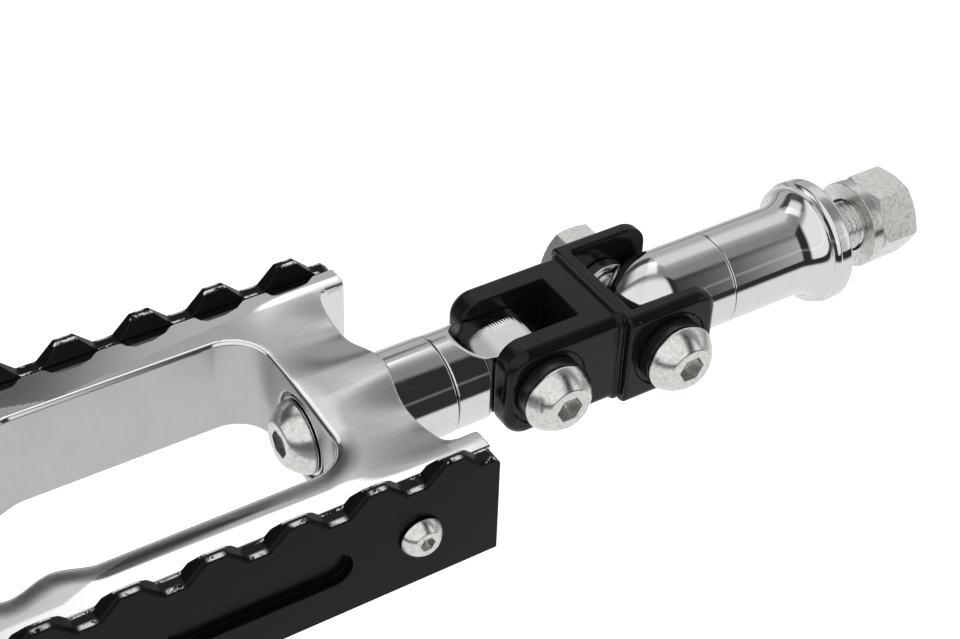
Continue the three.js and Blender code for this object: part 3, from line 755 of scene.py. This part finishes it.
def polish_mask(points, normals):
    """Mirror polished: the strips by the rails, the window's rim and the horns."""
    limit = np.interp(points[:, 0], POLISH_X, POLISH_Y)
    limit = np.where(points[:, 1] > 0, np.minimum(limit, REAR_POLISH_Y), limit)
    strips = smooth(-0.15, 0.15, np.abs(points[:, 1]) - limit) * smooth(0.5, 0.9, normals[:, 2])
    rim = smooth(1.5, 1.1, window_distance(points[:, 0], points[:, 1]))
    rim = rim * smooth(0.12, 0.25, normals[:, 2])
    to_horn = np.minimum(np.abs(points[:, 1]) - HORN_INNER + 1.2, points[:, 0] - WEB_END - 0.5)
    horns = smooth(-0.2, 0.2, to_horn)
    return np.maximum(np.maximum(strips, rim), horns)


def wall_mask(points, normals):
    """The window's upright sides."""
    inside = window_distance(points[:, 0], points[:, 1]) < 1.5
    return inside * (1 - smooth(0.2, 0.5, np.abs(normals[:, 2])))


def make_platform():
    low = (FRAME_END, -FRAME_HALF_WIDTH, FRAME_BOTTOM)
    high = (HORN_END, FRAME_HALF_WIDTH, FRAME_HIGH.z)
    cell = 0.4
    masks = {"polish": polish_mask, "wall": wall_mask}
    piece = net_object("platform_body", platform_distance, low, high, cell, masks)
    finish_piece(piece, "platform_frame", scale=1)


make_platform()


# ---------------------------------------------------------------- clevis link
LINK_HALF_HEIGHT = 11.6
WIDE_HALF_HEIGHT = LINK_HIGH.z
NARROW_HALF_WIDTH = 13.4
WIDE_HALF_WIDTH = LINK_HIGH.y
STEP_X = INNER - 11.4
NARROW_END = OUTER - LINK_LOW.x
WIDE_END = LINK_HIGH.x - INNER
EAR_CORNER = 5.5
OUTER_SLOT_HALF_WIDTH = 7.15
OUTER_SLOT_END = INNER - 19.3
INNER_SLOT_HALF_WIDTH = 11.9
INNER_SLOT_END = INNER - 8.7
BEAD_RADIUS = 0.8  # raised line round the foot of the wide end
BEAD_X = STEP_X - 0.75
SPOTFACE_RADIUS = 9.4  # under the pivot bolts' washers
SPOTFACE_DEPTH = 0.4


def rounded_end(along, height, reach, half_height):
    """Side outline of an ear: corners rounded past its pivot."""
    a = np.maximum(along - reach, -30) + EAR_CORNER
    b = height - half_height + EAR_CORNER
    return np.minimum(np.maximum(a, b), 0) + np.hypot(np.maximum(a, 0), np.maximum(b, 0)) - EAR_CORNER


def link_distance(x, y, z):
    side = np.abs(y)
    height = np.abs(z)
    outer_end = rounded_end(OUTER - x, height, NARROW_END, LINK_HALF_HEIGHT)
    narrow = meet(outer_end, side - NARROW_HALF_WIDTH, 2.4)
    narrow = np.maximum(narrow, x - (STEP_X + 2))
    inner_end = rounded_end(x - INNER, height, WIDE_END, WIDE_HALF_HEIGHT)
    wide = meet(inner_end, side - WIDE_HALF_WIDTH, 2.2)
    wide = meet(wide, STEP_X - x, 0.7)
    section = meet(height - LINK_HALF_HEIGHT, side - NARROW_HALF_WIDTH, 2.4)
    bead = np.hypot(x - BEAD_X, section) - BEAD_RADIUS
    solid = join(join(narrow, bead, 0.15), wide, 0.3)
    outer_slot = np.maximum(side - OUTER_SLOT_HALF_WIDTH, x - OUTER_SLOT_END)
    solid = cut(solid, outer_slot, 0.3)
    inner_slot = meet(side - INNER_SLOT_HALF_WIDTH, INNER_SLOT_END - x, 0.5)
    solid = cut(solid, inner_slot, 0.45)
    for pivot, face in ((OUTER, NARROW_HALF_WIDTH), (INNER, WIDE_HALF_WIDTH)):
        away = np.hypot(x - pivot, z)
        solid = cut(solid, away - BOLT_HOLE, 0.2)
        spotface = np.maximum(away - SPOTFACE_RADIUS, y + face - SPOTFACE_DEPTH)
        solid = cut(solid, spotface, 0.25)
    return solid


def make_link():
    cell = 0.3
    piece = net_object("clevis_body", link_distance, LINK_LOW, LINK_HIGH, cell)
    finish_piece(piece, "clevis_link", scale=1)


make_link()


# ---------------------------------------------------------------- adapter
BAR_RADIUS = 11.0
TONGUE_HALF_HEIGHT = 7.5
TONGUE_HALF_WIDTH = 6.85
SHOULDER_REACH = 12.3
EAR_SWEEP = 13.4  # the shoulders are hollowed to this radius, so that the ears pass as it folds
SLOPE_X = OUTER - 16.8  # where the milled slope leaves the bar, at SLOPE_Z
SLOPE_Z = 11.15
SLOPE_FACING = (0.567, 0.824)  # outward, in x and z
HEEL_Z = -5.35  # middle of the square heel that stops the peg level
HEEL_HALF_HEIGHT = 2.15


def adapter_distance(x, y, z):
    height = np.abs(z)
    bar = meet(np.hypot(y, z) - BAR_RADIUS, ADAPTER_LOW.x - x, 0.35)
    slope = SLOPE_FACING[0] * (x - SLOPE_X) + SLOPE_FACING[1] * (height - SLOPE_Z)
    profile = join(height - TONGUE_HALF_HEIGHT, slope, 3.0)
    eye = np.where(x > OUTER, np.hypot(x - OUTER, z), height) - TONGUE_HALF_HEIGHT
    heel = np.maximum(np.abs(z - HEEL_Z) - HEEL_HALF_HEIGHT, OUTER - x)
    heel = np.maximum(heel, x - ADAPTER_HIGH.x)
    end = join(np.where(x > OUTER, eye, profile), heel, 0.3)
    body = meet(bar, end, 0.35)
    shoulder = np.maximum(x - (OUTER - SHOULDER_REACH), EAR_SWEEP - np.hypot(x - OUTER, z))
    cheek = join(np.abs(y) - TONGUE_HALF_WIDTH, shoulder, 0.3)
    solid = meet(body, cheek, 0.35)
    solid = cut(solid, np.hypot(x - OUTER, z) - BOLT_HOLE, 0.2)
    return cut(solid, np.maximum(np.hypot(y, z) - BOLT_HOLE, x - (OUTER - 8)), 0.1)


def milled_mask(points, normals):
    """The tongue's flats, where the end mill left its arcs."""
    return smooth(OUTER - 11.5, OUTER - 9.5, points[:, 0]) * smooth(0.9, 0.98, np.abs(normals[:, 2]))


def make_adapter():
    cell = 0.22
    masks = {"milled": milled_mask}
    piece = net_object("adapter_body", adapter_distance, ADAPTER_LOW, ADAPTER_HIGH, cell, masks)
    finish_piece(piece, "pivot_adapter", scale=1)


make_adapter()


# ---------------------------------------------------------------- mount shaft
NOSE_TIP = INNER - 7.9
BAR_START = INNER + 7.4
SHAFT_RADIUS = 11.1
NOSE_CHEEK = 8.4  # half the nose's width between its two flats
NOSE_CHEEK_RADIUS = 6.7
NOSE_POWER = 1.8  # these two set how full the bullet nose is
NOSE_BLUNTNESS = 0.78
SEAM_GAP = 0.12  # between the knuckle's end and the collar
COLLAR_START = box_mm("mount_collar")[0].x
FLANGE_RADIUS = box_mm("mount_collar")[1].z


def knuckle_distance(x, y, z):
    around = np.hypot(y, z)
    length = BAR_START - NOSE_TIP
    share = np.clip((x - NOSE_TIP) / length, 1e-4, 1)
    base = 1 - (1 - share) ** NOSE_POWER
    radius = SHAFT_RADIUS * base ** NOSE_BLUNTNESS
    slope = SHAFT_RADIUS * NOSE_BLUNTNESS * base ** (NOSE_BLUNTNESS - 1)
    slope = slope * NOSE_POWER * (1 - share) ** (NOSE_POWER - 1) / length
    nose = (around - radius) / np.sqrt(1 + slope ** 2)
    nose = np.where(x < NOSE_TIP, np.hypot(around, x - NOSE_TIP), nose)
    body = meet(nose, x - (COLLAR_START - SEAM_GAP), 0.3)
    across = np.hypot(x - INNER, z)
    cheek = np.maximum(across - NOSE_CHEEK_RADIUS, NOSE_CHEEK - np.abs(y))
    body = cut(body, cheek, 0.25)
    body = cut(body, across - BOLT_HOLE, 0.2)
    return cut(body, np.maximum(around - STUD_HOLE, INNER + 10 - x), 0.1)


def make_knuckle():
    low = (NOSE_TIP, -SHAFT_RADIUS, -SHAFT_RADIUS)
    high = (COLLAR_START, SHAFT_RADIUS, SHAFT_RADIUS)
    cell = 0.25
    piece = net_object("knuckle_body", knuckle_distance, low, high, cell)
    finish_piece(piece, "mount_knuckle", scale=1)


def make_collar():
    lip, flare, fall = 5.0, 7.0, FLANGE_RADIUS - SHAFT_RADIUS
    profile = [(COLLAR_START, STUD_HOLE), (COLLAR_START, SHAFT_RADIUS - 0.35)]
    profile += [(COLLAR_START + 0.12, SHAFT_RADIUS - 0.1), (COLLAR_START + 0.4, SHAFT_RADIUS)]
    for step in range(17):
        angle = math.pi / 2 * step / 16
        along = -lip - flare + 0.98 * flare * math.sin(angle)
        profile.append((along, SHAFT_RADIUS + (fall - 0.6) * (1 - math.cos(angle))))
    for step in range(1, 9):
        angle = math.pi / 2 * step / 8
        profile.append((-lip + 1.6 * math.sin(angle), FLANGE_RADIUS - 0.6 * math.cos(angle)))
    edge = [(-2, FLANGE_RADIUS), (0, FLANGE_RADIUS), (0, STUD_HOLE)]
    edge = round_corners(edge, 1.2, False)
    finish_piece(lathe("collar_body", profile + edge, "x", segments=128), "mount_collar")


STUD_PITCH = 1.5


def make_stud():
    low, high = box_mm("mount_stud")
    radius = high.y
    profile = [(low.x, 0), (low.x, radius - 0.8), (low.x + 0.8, radius), (INNER + 12, radius)]
    profile += thread_rings(0.2, high.x - 0.9, STUD_PITCH, radius)
    profile += [(high.x - 0.7, radius - 0.3), (high.x, radius - 1), (high.x, 0)]
    thread = (0.2, high.x - 0.6, STUD_PITCH, 0.5 * STUD_PITCH)
    piece = lathe("stud_body", profile, "x", segments=72, thread=thread)
    finish_piece(piece, "mount_stud", crease=50)


def ring(name, node, bore, axis, soft=0.3):
    """A flat ring as thick and as wide as its node."""
    low, high = box_mm(node)
    along = "xyz".index(axis)
    radius = (high.z - low.z) / 2
    centre = (low + high) / 2
    half = (high[along] - low[along]) / 2
    outline = [(-half, bore), (-half, radius), (half, radius), (half, bore)]
    return lathe(name, round_corners(outline, soft), axis, centre)


def hexagon(across_flats, centre=(0, 0)):
    corner = across_flats / math.sqrt(3)
    turns = [math.pi / 3 * i for i in range(6)]
    return [(centre[0] + corner * math.cos(t), centre[1] + corner * math.sin(t)) for t in turns]


def nut(name, across_flats, height, bore):
    """Hexagon nut round the origin, its axis along y, corners chamfered at both ends."""
    corner = across_flats / math.sqrt(3)
    flat = across_flats / 2 - 0.35
    slope = (corner - flat) * 0.58
    body = prism(name, hexagon(across_flats), 0, height)
    profile = [(0, 0), (0, flat), (slope, corner + 0.05)]
    profile += [(height - slope, corner + 0.05), (height, flat), (height, 0)]
    boolean(body, [lathe("cone", profile, "y")], "INTERSECT")
    hole = [(-1, 0), (-1, bore + 1.6), (0.6, bore), (height - 0.6, bore), (height + 1, bore + 1.6)]
    boolean(body, [lathe("hole", hole + [(height + 1, 0)], "y")])
    return soften(body, 0.22, 3, 35)


# Button heads: height against radius.
LARGE_HEAD = 5.05 / 8.335
SMALL_HEAD = 2.75 / 4.75
PIVOT_KEY = 5.56  # across the socket's flats
RAIL_KEY = 3
PIVOT_SHANK = 4.6
RAIL_SHANK = 2.2
SCREW_PITCH = 1.6


def button_screw(name, node, key, shank, axis="y", flip=False, thread=None, segments=96):
    """A button head screw in its node's place, with a hexagon socket."""
    low, high = box_mm(node)
    along = "xyz".index(axis)
    radius = (high.z - low.z) / 2
    total = high[along] - low[along]
    height = radius * (LARGE_HEAD if radius > 6 else SMALL_HEAD)
    length = total - height
    edge, flat = 0.16 * height, 0.6 * radius
    centre = (radius ** 2 + edge ** 2 - flat ** 2 - height ** 2) / (2 * (height - edge))
    dome = math.hypot(radius, edge + centre)
    profile = [(-height, 0), (-height, flat - 0.35)]
    for step in range(15):
        out = flat + (radius - flat) * math.sin(math.pi / 2 * step / 14)
        profile.append((centre - math.sqrt(dome ** 2 - out ** 2), out))
    profile += [(-0.12, radius), (0, radius - 0.12), (0, shank + 0.4), (0.4, shank)]
    if thread:
        start = length - thread
        profile += thread_rings(start, length - 0.9, SCREW_PITCH, shank)
        thread = (start, length - 0.6, SCREW_PITCH, 0.5 * SCREW_PITCH)
    profile += [(length - 0.8, shank - 0.1), (length, shank - 0.9), (length, 0)]
    head_end = low[along] + height if not flip else high[along] - height
    seat = (low + high) / 2
    seat[along] = head_end
    piece = lathe(name, profile, axis, seat, segments, flip, thread)
    deep = 0.62 * key
    top = seat[along] + (height if flip else -height)
    span = (top - deep, top + 1) if flip else (top - 1, top + deep)
    others = [i for i in range(3) if i != along]
    outline = hexagon(key, (seat[others[0]], seat[others[1]]))
    boolean(piece, [prism("socket", outline, *span, axis)])
    return finish_piece(soften(piece, 0.14, 2, 55), node, crease=48)


LOCK_WASHER_HOLE = 6.5
MOUNT_NUT_FLATS = 19
PIVOT_NUT_FLATS = 14.29


def make_fasteners():
    piece = ring("lock_washer_body", "mount_lock_washer", LOCK_WASHER_HOLE, "x")
    finish_piece(piece, "mount_lock_washer")
    low, high = box_mm("mount_nut")
    piece = nut("mount_nut_body", MOUNT_NUT_FLATS, high.x - low.x, STUD_HOLE)
    turn = Matrix.Rotation(-math.pi / 2, 4, "Z")
    piece.data.transform(Matrix.Translation((low.x, 0, 0)) @ turn)
    finish_piece(piece, "mount_nut")

    low, high = box_mm("inner_pivot_nut")
    piece = nut("inner_nut_body", PIVOT_NUT_FLATS, high.y - low.y, BOLT_HOLE)
    piece.data.transform(Matrix.Translation((INNER, low.y, 0)))
    finish_piece(piece, "inner_pivot_nut")
    button_screw("outer_bolt_body", "outer_pivot_bolt", PIVOT_KEY, PIVOT_SHANK, thread=12)
    button_screw("inner_bolt_body", "inner_pivot_bolt", PIVOT_KEY, PIVOT_SHANK, thread=13)
    button_screw("peg_bolt_body", "peg_bolt", PIVOT_KEY, PIVOT_SHANK, "x", thread=16)
    rings = (
        ("outer_washer_body", "outer_pivot_washer", "y", 0.3),
        ("inner_washer_body", "inner_pivot_washer", "y", 0.3),
        ("front_spacer_body", "inner_spacer_front", "y", 0.3),
        ("rear_spacer_body", "inner_spacer_rear", "y", 0.3),
        ("peg_washer_body", "peg_bolt_washer", "x", 0.2),
        ("sleeve_body", "adapter_sleeve", "x", 0.35),
    )
    for name, node, axis, soft in rings:
        finish_piece(ring(name, node, BOLT_HOLE, axis, soft), node)
    for end in ("inner", "outer"):
        for side in ("front", "rear"):
            node = f"{side}_rail_screw_{end}"
            at_rear = side == "rear"
            button_screw(f"{node}_body", node, RAIL_KEY, RAIL_SHANK, flip=at_rear, segments=64)


make_knuckle()
make_collar()
make_stud()
make_fasteners()


# ---------------------------------------------------------------- grip rails
TOOTH_COUNT = 6
TOOTH_FLAT = 4.4
TOOTH_SLOPE = 4.2
TOOTH_LEAN = 1.5  # how far a tooth's inner face leans outward by its top
LEAN_START = 1.8  # how far above the valleys the lean starts
RAIL_CORNER = 1.6
RAIL_BEVEL = 0.85
VALLEY = STRIP_TOP
TOOTH_TOP = RAIL_HIGH.z
SLOT_HALF_LENGTH = 19.75
SLOT_HALF_HEIGHT = 4.0
SLOT_DEPTH = 2.2


def tooth_outline(past=2.0):
    outline = [(FRAME_END - past, RAIL_LOW.z - past), (HORN_END + past, RAIL_LOW.z - past)]
    outline.append((HORN_END + past, VALLEY))
    half = TOOTH_FLAT / 2
    for i in range(TOOTH_COUNT):
        x = FIRST_TOOTH - i * TOOTH_PITCH
        outline += [(x + half + TOOTH_SLOPE, VALLEY), (x + half, TOOTH_TOP)]
        outline += [(x - half, TOOTH_TOP), (x - half - TOOTH_SLOPE, VALLEY)]
    return outline + [(FRAME_END - past, VALLEY)]


def rail_mesh(name):
    """The rear rail: its toothed edge bevelled outside and leaning outward inside, with a slot
    and screw holes."""
    inner, outer = RAIL_LOW.y, RAIL_HIGH.y
    plate = prism(name, tooth_outline(), inner - 4, outer)
    shape = bmesh.new()
    shape.from_mesh(plate.data)
    edges = []
    for edge in shape.edges:
        if all(v.co.y > outer - 0.01 and v.co.z > VALLEY - 0.01 for v in edge.verts):
            edges.append(edge)
    bmesh.ops.bevel(shape, geom=edges, offset=RAIL_BEVEL, segments=3, profile=0.5, affect="EDGES")
    shape.to_mesh(plate.data)
    shape.free()
    x0, x1, top = FRAME_END, HORN_END, TOOTH_TOP + 1
    corner = RAIL_CORNER
    ends = [(x0, RAIL_LOW.z), (x1, RAIL_LOW.z), (x1, VALLEY - corner), (x1 - corner, VALLEY)]
    ends += [(x1 - corner, top), (x0 + corner, top), (x0 + corner, VALLEY), (x0, VALLEY - corner)]
    boolean(plate, [prism("ends", ends, inner, outer + 1)], "INTERSECT")
    start = VALLEY + LEAN_START
    rise = TOOTH_TOP - start
    lean = [(inner - 5, start), (inner, start), (inner + 2 * TOOTH_LEAN, start + 2 * rise)]
    lean.append((inner - 5, start + 2 * rise))
    middle = (x0 + x1) / 2
    reach = SLOT_HALF_LENGTH - SLOT_HALF_HEIGHT
    slot = []
    for side in (1, -1):
        for i in range(17):
            angle = side * math.pi / 2 * (i / 8 - 1)
            slot.append((middle + side * (reach + SLOT_HALF_HEIGHT * math.cos(angle)),
                         SCREW_Z + SLOT_HALF_HEIGHT * math.sin(angle)))
    tools = [prism("lean", lean, x0 - 5, x1 + 5, "x")]
    tools.append(prism("slot", slot, outer - SLOT_DEPTH, outer + 1))
    for x in SCREW_XS:
        tools.append(rod("hole", inner - 1, outer + 1, SCREW_HOLE, (x, 0, SCREW_Z)))
    boolean(plate, tools)
    return soften(plate, 0.22, 3, 18)


def make_rails():
    rear = rail_mesh("rear_rail_body")
    front = mesh_object("front_rail_body", rear.data.copy())
    front.data.transform(Matrix.Scale(-1, 4, (0, 1, 0)))
    front.data.flip_normals()
    finish_piece(rear, "rear_grip_rail")
    finish_piece(front, "front_grip_rail")


make_rails()


# ---------------------------------------------------------------- studio
TURN = math.radians(CAMERA_AZIMUTH)
PANEL_LEVEL = 0.85
CEILING_LEVEL = 0.52
GLOW_LEVEL = 0.32
SIDE_LEVEL = 1.0
FLOOR_LEVEL = 0.9
TUBE_LEVEL = 0.14
DARK_LEVEL = 0.035  # everywhere between the lights
FLOOR_SIZE = 4.0  # half its width, in metres
FLOOR_Z = -0.045


def make_floor():
    """Plain white floor for the camera. What is reflected from below comes from the studio."""
    mesh = bpy.data.meshes.new("floor")
    signs = ((-1, -1), (1, -1), (1, 1), (-1, 1))
    corners = [(a * FLOOR_SIZE, b * FLOOR_SIZE, FLOOR_Z) for a, b in signs]
    mesh.from_pydata(corners, [], [(0, 1, 2, 3)])
    floor = mesh_object("floor", mesh)
    floor.visible_glossy = False
    floor.visible_diffuse = False
    material, _, shader = new_material("floor")
    shader.inputs["Base Color"].default_value = grey(0.9)
    shader.inputs["Roughness"].default_value = 0.9
    shader.inputs["Emission Color"].default_value = grey(1)
    shader.inputs["Emission Strength"].default_value = 0.8
    mesh.materials.append(material)


def make_world():
    """A studio seen only in reflections, and plain white to the camera. slant and aside are
    where a direction meets the ceiling: rearward and rightward, in heights above the object."""
    world = bpy.data.worlds.new("studio")
    bpy.context.scene.world = world
    world.use_nodes = True
    nodes = Nodes(world.node_tree)
    direction = nodes.add("ShaderNodeTexCoord").outputs["Generated"]
    x, y, z = nodes.split(direction)
    height = nodes.math("MAXIMUM", z, 0.01)

    def along(part_x, part_y):
        return nodes.math("ADD", nodes.math("MULTIPLY", x, part_x), nodes.math("MULTIPLY", y, part_y))

    def band(value, start, full, fade, end):
        """0 outside start and end, 1 between full and fade."""
        return nodes.math("MULTIPLY", nodes.ramp(value, start, full), nodes.ramp(value, fade, end, 1, 0))

    def lamp(level, *parts):
        for part in parts:
            level = nodes.math("MULTIPLY", part, level)
        return level

    rear = along(-math.sin(TURN), math.cos(TURN))
    slant = nodes.math("DIVIDE", rear, height)
    aside = nodes.math("DIVIDE", along(math.cos(TURN), math.sin(TURN)), height)
    above = nodes.ramp(z, 0.0, 0.02)
    ceiling = nodes.math("MULTIPLY", nodes.ramp(slant, 0.0, 0.15), nodes.ramp(slant, 0.3, 0.85, 0.5, 1))
    left = nodes.ramp(aside, -0.4, -0.2, 1, 0)
    left = nodes.math("MULTIPLY", left, nodes.ramp(slant, 1.5, 2.2, 1, 0))
    ceiling = nodes.math("MULTIPLY", ceiling, nodes.ramp(left, 0, 1, 1, 0.15))
    gap = nodes.math("MULTIPLY", band(slant, 1.28, 1.45, 2.0, 2.5), nodes.ramp(aside, -0.3, -0.1, 1, 0))
    ceiling = nodes.math("MULTIPLY", ceiling, nodes.ramp(gap, 0, 1, 1, 0.3))
    front = nodes.ramp(slant, -0.2, 0.2, 1, 0)
    beside = nodes.math("MAXIMUM", nodes.ramp(x, 0.5, 0.64), nodes.ramp(x, 0.16, 0.3, 1, 0))
    below_front = nodes.ramp(z, -0.28, -0.16, 1, 0)
    below_rear = nodes.ramp(z, -0.5, -0.05, 1, 0.5)
    below = nodes.mix(nodes.ramp(rear, -0.1, 0.1), below_front, below_rear)
    # Ceiling, a glow at its right, the main panel at its left, side walls, a tube and the floor.
    lights = (
        lamp(CEILING_LEVEL, above, ceiling),
        lamp(GLOW_LEVEL, above, band(slant, 0.6, 0.85, 1.25, 2.4), nodes.ramp(aside, -0.1, 0.0)),
        lamp(PANEL_LEVEL, above, band(slant, 0.1, 0.3, 1.03, 1.09), band(aside, -1.2, -0.6, -0.06, 0.06)),
        lamp(SIDE_LEVEL, above, front, beside),
        lamp(TUBE_LEVEL, front, band(z, 0.33, 0.36, 0.41, 0.44)),
        lamp(FLOOR_LEVEL, nodes.ramp(z, -0.05, 0.0, 1, 0), below),
    )
    level = DARK_LEVEL
    for light in lights:
        level = nodes.math("ADD", light, level)
    lit = nodes.add("ShaderNodeBackground")
    nodes.link(level, lit.inputs["Strength"])
    lit.inputs["Color"].default_value = (1, 0.99, 0.975, 1)
    pale = nodes.add("ShaderNodeBackground")
    pale.inputs["Color"].default_value = grey(1)
    pick = nodes.add("ShaderNodeMixShader")
    nodes.link(nodes.add("ShaderNodeLightPath").outputs["Is Camera Ray"], pick.inputs[0])
    nodes.link(lit.outputs[0], pick.inputs[1])
    nodes.link(pale.outputs[0], pick.inputs[2])
    nodes.link(pick.outputs[0], nodes.add("ShaderNodeOutputWorld").inputs[0])


make_floor()
make_world()

view = bpy.context.scene.view_settings
view.view_transform = "Standard"
